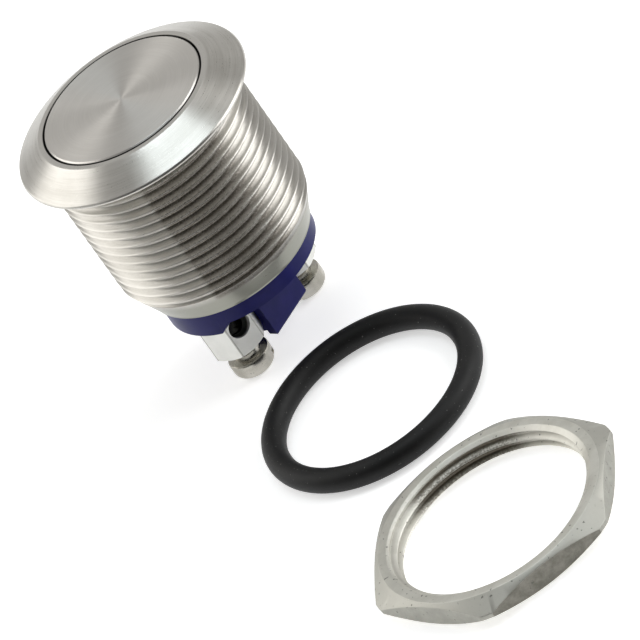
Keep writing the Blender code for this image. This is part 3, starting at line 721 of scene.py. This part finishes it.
def make_cap():
    """The flush cap: a turned disc with its stem, seal groove and clip groove."""
    seal_low = CAP_BOTTOM + 0.6 * MM
    seal_high = seal_low + 1.2 * MM
    seal_floor = 6.45 * MM
    clip_low = STEM_END + 0.55 * MM
    clip_high = STEM_END + 1.25 * MM
    clip_floor = 2.3 * MM
    socket_end = STEM_END + 2.3 * MM
    line = [
        (0, CAP_TOP),
        (CAP_RADIUS - 0.16 * MM, CAP_TOP),
        (CAP_RADIUS, CAP_TOP - 0.16 * MM),
        (CAP_RADIUS, seal_high),
        (seal_floor, seal_high),
        (seal_floor, seal_low),
        (CAP_RADIUS, seal_low),
        (CAP_RADIUS, CAP_BOTTOM),
        (STEM_RADIUS, CAP_BOTTOM),
        (STEM_RADIUS, clip_high),
        (clip_floor, clip_high),
        (clip_floor, clip_low),
        (STEM_RADIUS, clip_low),
        (STEM_RADIUS, STEM_END),
        (STEM_SOCKET, STEM_END),
        (STEM_SOCKET, socket_end),
        (0, socket_end),
    ]
    cap = turned("cap", softened(line, 0.04 * MM, closed=False))
    settle(cap, AXIS)
    even_shading(cap, 30)
    dress(cap, "flush_cap", "button", FACED_STEEL, "button_cap")


def post_turn(side):
    """The way that the wire hole of a post faces, from the line through both posts."""
    return side * WIRE_SPLAY - math.pi / 2


def make_posts():
    """Two hexagonal terminal posts, with a chamfered end, a wire hole and a hole for the screw."""
    wide = 0.61 * POST_WIDTH
    end = POST_WIDTH / 2 - 0.1 * MM
    line = [
        (0, POST_TOP),
        (POST_SHANK, POST_TOP),
        (POST_SHANK, POCKET_CEILING),
        (wide, POCKET_CEILING),
        (wide, POST_BOTTOM + (wide - end) * math.tan(math.radians(30))),
        (end, POST_BOTTOM),
        (0, POST_BOTTOM),
    ]
    for number, side in ((1, -1), (2, 1)):
        post = turned("post", line, SMALL)
        cut(post, hexagon("hexagon", POST_WIDTH, 0, POST_TOP + MM), "INTERSECT")
        cut(post, round_bar("screw_hole", SCREW_SHANK + 0.08 * MM, 0, WIRE_HOLE_HEIGHT))
        hole = settle(round_bar("wire_hole", 1.1 * MM, -POST_WIDTH, POST_WIDTH))
        hole.rotation_euler = (0, math.pi / 2, 0)
        hole.location = (0, 0, WIRE_HOLE_HEIGHT)
        cut(post, hole)
        apply_step(post, "BEVEL", width=0.07 * MM, segments=2, limit_method="ANGLE",
                   angle_limit=math.radians(28))
        settle(post, TERMINALS[number - 1], TERMINAL_TURN + post_turn(side))
        even_shading(post, 30)
        dress(post, f"hexagon_post_{number}", "switch_set", TIN_PLATE,
              f"terminal_post_{number}")


def make_screws():
    """Two slotted clamp screws, with domed heads and a fine thread."""
    flat = 0.45 * SCREW_HEAD
    rim = 0.45 * SCREW_HEAD_HEIGHT
    dome = [(flat + (SCREW_HEAD - flat) * math.sin(angle), rim * (1 - math.cos(angle)))
            for angle in (math.radians(90 * step / 10) for step in range(11))]
    line = [(0, 0)] + dome + [
        (SCREW_HEAD, SCREW_HEAD_HEIGHT - 0.22 * MM),
        (SCREW_HEAD - 0.07 * MM, SCREW_HEAD_HEIGHT - 0.07 * MM),
        (SCREW_HEAD - 0.22 * MM, SCREW_HEAD_HEIGHT),
        (SCREW_SHANK, SCREW_HEAD_HEIGHT),
        (SCREW_SHANK, SCREW_TOP - 0.2 * MM),
        (SCREW_SHANK - 0.2 * MM, SCREW_TOP),
        (0, SCREW_TOP),
    ]
    pitch = 0.45 * MM
    for number in (1, 2):
        screw = turned("screw", line, SMALL)
        cut(screw, bar("slot", (3 * SCREW_HEAD, 0.5 * MM, 2.3 * MM), (0, 0, 0)))
        apply_step(screw, "BEVEL", width=0.04 * MM, segments=2, limit_method="ANGLE",
                   angle_limit=math.radians(50))
        section = groove_section(SCREW_SHANK - 0.25 * MM, SCREW_SHANK, pitch)
        cut(screw, helix("groove", section, SCREW_HEAD_HEIGHT + 0.65 * pitch, 6, pitch, SMALL),
            solver="MANIFOLD")
        settle(screw, TERMINALS[number - 1], SLOT_TURNS[number - 1])
        even_shading(screw, 38)
        dress(screw, f"slotted_screw_{number}", f"screw_{number}", BRIGHT_NICKEL,
              f"terminal_screw_{number}")


def make_base():
    """The moulded base: a disc, stepped up in front, a spigot, pockets for the posts and a barrier."""
    seal_low = HOUSING_END + 0.5 * MM
    seal_high = HOUSING_END + 1.45 * MM
    seal_floor = 6.25 * MM
    line = [
        (0, BASE_BOTTOM),
        (BASE_RADIUS, BASE_BOTTOM),
        (BASE_RADIUS, HOUSING_END),
        (SPIGOT_RADIUS, HOUSING_END),
        (SPIGOT_RADIUS, seal_low),
        (seal_floor, seal_low),
        (seal_floor, seal_high),
        (SPIGOT_RADIUS, seal_high),
        (SPIGOT_RADIUS, BASE_TOP),
        (SPIGOT_BORE, BASE_TOP),
        (SPIGOT_BORE, FLOOR_TOP),
        (0, FLOOR_TOP),
    ]
    base = turned("base", softened(line, 0.05 * MM, closed=False))
    step = bar("step", (3 * BASE_RADIUS, 2 * BASE_RADIUS, 2 * STEP_HEIGHT),
               (0, -BASE_RADIUS - POST_WIDTH / 2, BASE_BOTTOM))
    edit(step)
    choose(step, lambda place: place.z > BASE_BOTTOM)
    bpy.ops.transform.translate(value=(0, -STEP_HEIGHT, 0))
    choose(step, lambda place: place.z < BASE_BOTTOM)
    bpy.ops.transform.translate(value=(0, STEP_HEIGHT, 0))
    leave_edit()
    cut(base, step)
    barrier_top = BASE_BOTTOM + 1.3 * MM
    barrier = bar("barrier", (BARRIER_WIDTH, BARRIER_LENGTH, barrier_top - BARRIER_BOTTOM),
                  (0, 0, (barrier_top + BARRIER_BOTTOM) / 2))
    edit(barrier)
    choose(barrier, lambda place: place.z < BASE_BOTTOM)
    bpy.ops.mesh.select_mode(type="EDGE")
    bpy.ops.mesh.bevel(offset=0.3 * MM, segments=4)
    leave_edit()
    cut(base, barrier, "UNION")
    for side in (-1, 1):
        place = (side * TERMINAL_OFFSET, 0, 0)
        pocket = hexagon("pocket", POST_WIDTH + 0.2 * MM, 0, POCKET_CEILING)
        cut(base, settle(pocket, place, post_turn(side)))
        cut(base, settle(round_bar("shank_hole", POST_SHANK + 0.1 * MM, BASE_BOTTOM, FLOOR_TOP + MM), place))
    apply_step(base, "BEVEL", width=0.06 * MM, segments=2, limit_method="ANGLE",
               angle_limit=math.radians(40))
    settle(base, AXIS, TERMINAL_TURN)
    even_shading(base, 30)
    dress(base, "moulded_base", "switch_set", BLUE_PLASTIC, "base")


def make_seal():
    """The rubber panel seal, with the thin line that its mould left inside, and a nick."""
    pick_none()
    bpy.ops.mesh.primitive_torus_add(major_segments=180, minor_segments=36, major_radius=SEAL_RADIUS,
                                     minor_radius=SEAL_SECTION, location=(0, 0, SEAL_SECTION))
    seal = bpy.context.object
    bpy.ops.object.transform_apply(location=True)
    edit(seal)
    line_height = 0.02 * MM
    inner = SEAL_RADIUS - SEAL_SECTION
    choose(seal, lambda place: math.hypot(place.x, place.y) < inner + 0.001 * MM)
    share = (inner - line_height) / inner
    bpy.ops.transform.resize(value=(share, share, 1), center_override=(0, 0, SEAL_SECTION))
    nick_way = math.radians(228)
    nick_size = 0.3 * MM
    nick_height = 0.14 * MM
    nick = Vector((inner * math.cos(nick_way), inner * math.sin(nick_way), SEAL_SECTION + 0.1 * MM))
    choose(seal, lambda place: (place - nick).length < nick_size)
    bpy.ops.transform.translate(value=(-nick_height * math.cos(nick_way), -nick_height * math.sin(nick_way),
                                       0.05 * MM))
    bpy.ops.mesh.select_all(action="SELECT")
    bpy.ops.mesh.normals_make_consistent(inside=False)
    leave_edit()
    settle(seal, (SEAL_MIDDLE.x, SEAL_MIDDLE.y, 0))
    even_shading(seal, 60)
    dress(seal, "rubber_seal", "switch_set", RUBBER, "panel_seal_ring")


def make_nut():
    """A thin hexagon nut: chamfered faces that leave curved flats, a wide lead and a fine thread."""
    rise = (NUT_CORNER - NUT_FACE) * math.tan(math.radians(30))
    lead = 0.5 * MM
    line = [
        (NUT_BORE, lead),
        (NUT_BORE + NUT_LEAD, 0),
        (NUT_FACE, 0),
        (NUT_CORNER, rise),
        (NUT_CORNER, NUT_HEIGHT - rise),
        (NUT_FACE, NUT_HEIGHT),
        (NUT_BORE + NUT_LEAD, NUT_HEIGHT),
        (NUT_BORE, NUT_HEIGHT - lead),
    ]
    nut = turned("nut", looped(softened(line, 0.06 * MM)))
    cut(nut, hexagon("hexagon", NUT_WIDTH, -MM, NUT_HEIGHT + MM, math.pi / 6), "INTERSECT")
    apply_step(nut, "BEVEL", width=0.05 * MM, segments=2, limit_method="ANGLE",
               angle_limit=math.radians(24))
    turns = 5
    groove = helix("groove", groove_section(THREAD_RADIUS, NUT_BORE, THREAD_PITCH),
                   NUT_HEIGHT / 2 - turns * THREAD_PITCH / 2, turns, THREAD_PITCH)
    cut(nut, groove, solver="MANIFOLD")
    settle(nut, NUT_MIDDLE, NUT_TURN)
    even_shading(nut, 30)
    dress(nut, "hexagon_nut", "switch_set", NUT_NICKEL, "panel_nut")


def dress_inner_pieces():
    """Better finishes for the pieces inside, which keep their shapes from the model."""
    finishes = {
        "cap_seal_ring": RUBBER,
        "base_seal_ring": RUBBER,
        "retaining_clip": SPRING_STEEL,
        "return_spring": SPRING_STEEL,
        "contact_spring": SPRING_STEEL,
        "contact_bridge": COPPER,
        "plunger": NYLON,
    }
    for kind in ("moving", "fixed"):
        for number in (1, 2):
            finishes[f"{kind}_contact_{number}"] = SILVER
    for name, finish in finishes.items():
        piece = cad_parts[name]
        for slot in piece.material_slots:
            slot.material = finish


TURNED_STEEL = turned_metal(
    "turned_steel_finish", (0.61, 0.595, 0.56), (0.47, 0.455, 0.42), 0.30, 0.55, 9000, 0.0035 * MM,
    gap=(BORE_RADIUS + 0.09 * MM, BORE_RADIUS + 0.05 * MM, BEZEL_TOP - 0.7 * MM),
    thread=(THREAD_ROOT + 0.10 * MM, THREAD_RADIUS + 0.02 * MM, HOUSING_END + 1.6 * MM, SEAT - 0.05 * MM))
FACED_STEEL = turned_metal(
    "faced_steel_finish", (0.71, 0.69, 0.655), (0.64, 0.62, 0.585), 0.38, 0.85, 8000, 0.0016 * MM,
    gap=(CAP_RADIUS - 0.07 * MM, CAP_RADIUS - 0.03 * MM, CAP_TOP - 0.8 * MM))
NUT_NICKEL = plated_metal(
    "nut_nickel_finish", (0.70, 0.69, 0.635), (0.62, 0.61, 0.555), 0.52, 5000, 0.006 * MM, 0.8, nut_shade)
BRIGHT_NICKEL = plated_metal(
    "bright_nickel_finish", (0.50, 0.485, 0.44), (0.37, 0.355, 0.31), 0.24, 6000, 0.004 * MM, 0.5,
    screw_shade)
TIN_PLATE = plated_metal(
    "tin_plate_finish", (0.82, 0.82, 0.79), (0.77, 0.77, 0.74), 0.60, 7000, 0.004 * MM, 0.0, post_shade)
SPRING_STEEL = plated_metal(
    "spring_steel_finish", (0.50, 0.50, 0.50), (0.40, 0.40, 0.40), 0.34, 7000, 0.002 * MM)
COPPER = plated_metal(
    "copper_finish", (0.78, 0.52, 0.32), (0.66, 0.41, 0.24), 0.34, 6000, 0.002 * MM)
SILVER = plated_metal(
    "silver_finish", (0.88, 0.88, 0.86), (0.78, 0.78, 0.76), 0.26, 6000, 0.002 * MM)
BLUE_PLASTIC = moulded_plastic(
    "blue_plastic_finish", (0.008, 0.009, 0.110), (0.012, 0.012, 0.135), 0.36, 0.003 * MM, 0.17)
NYLON = moulded_plastic(
    "white_nylon_finish", (0.78, 0.77, 0.72), (0.72, 0.71, 0.66), 0.50, 0.003 * MM, 0.5)
RUBBER = rubber()

make_housing()
make_cap()
make_base()
make_posts()
make_screws()
make_seal()
make_nut()
dress_inner_pieces()
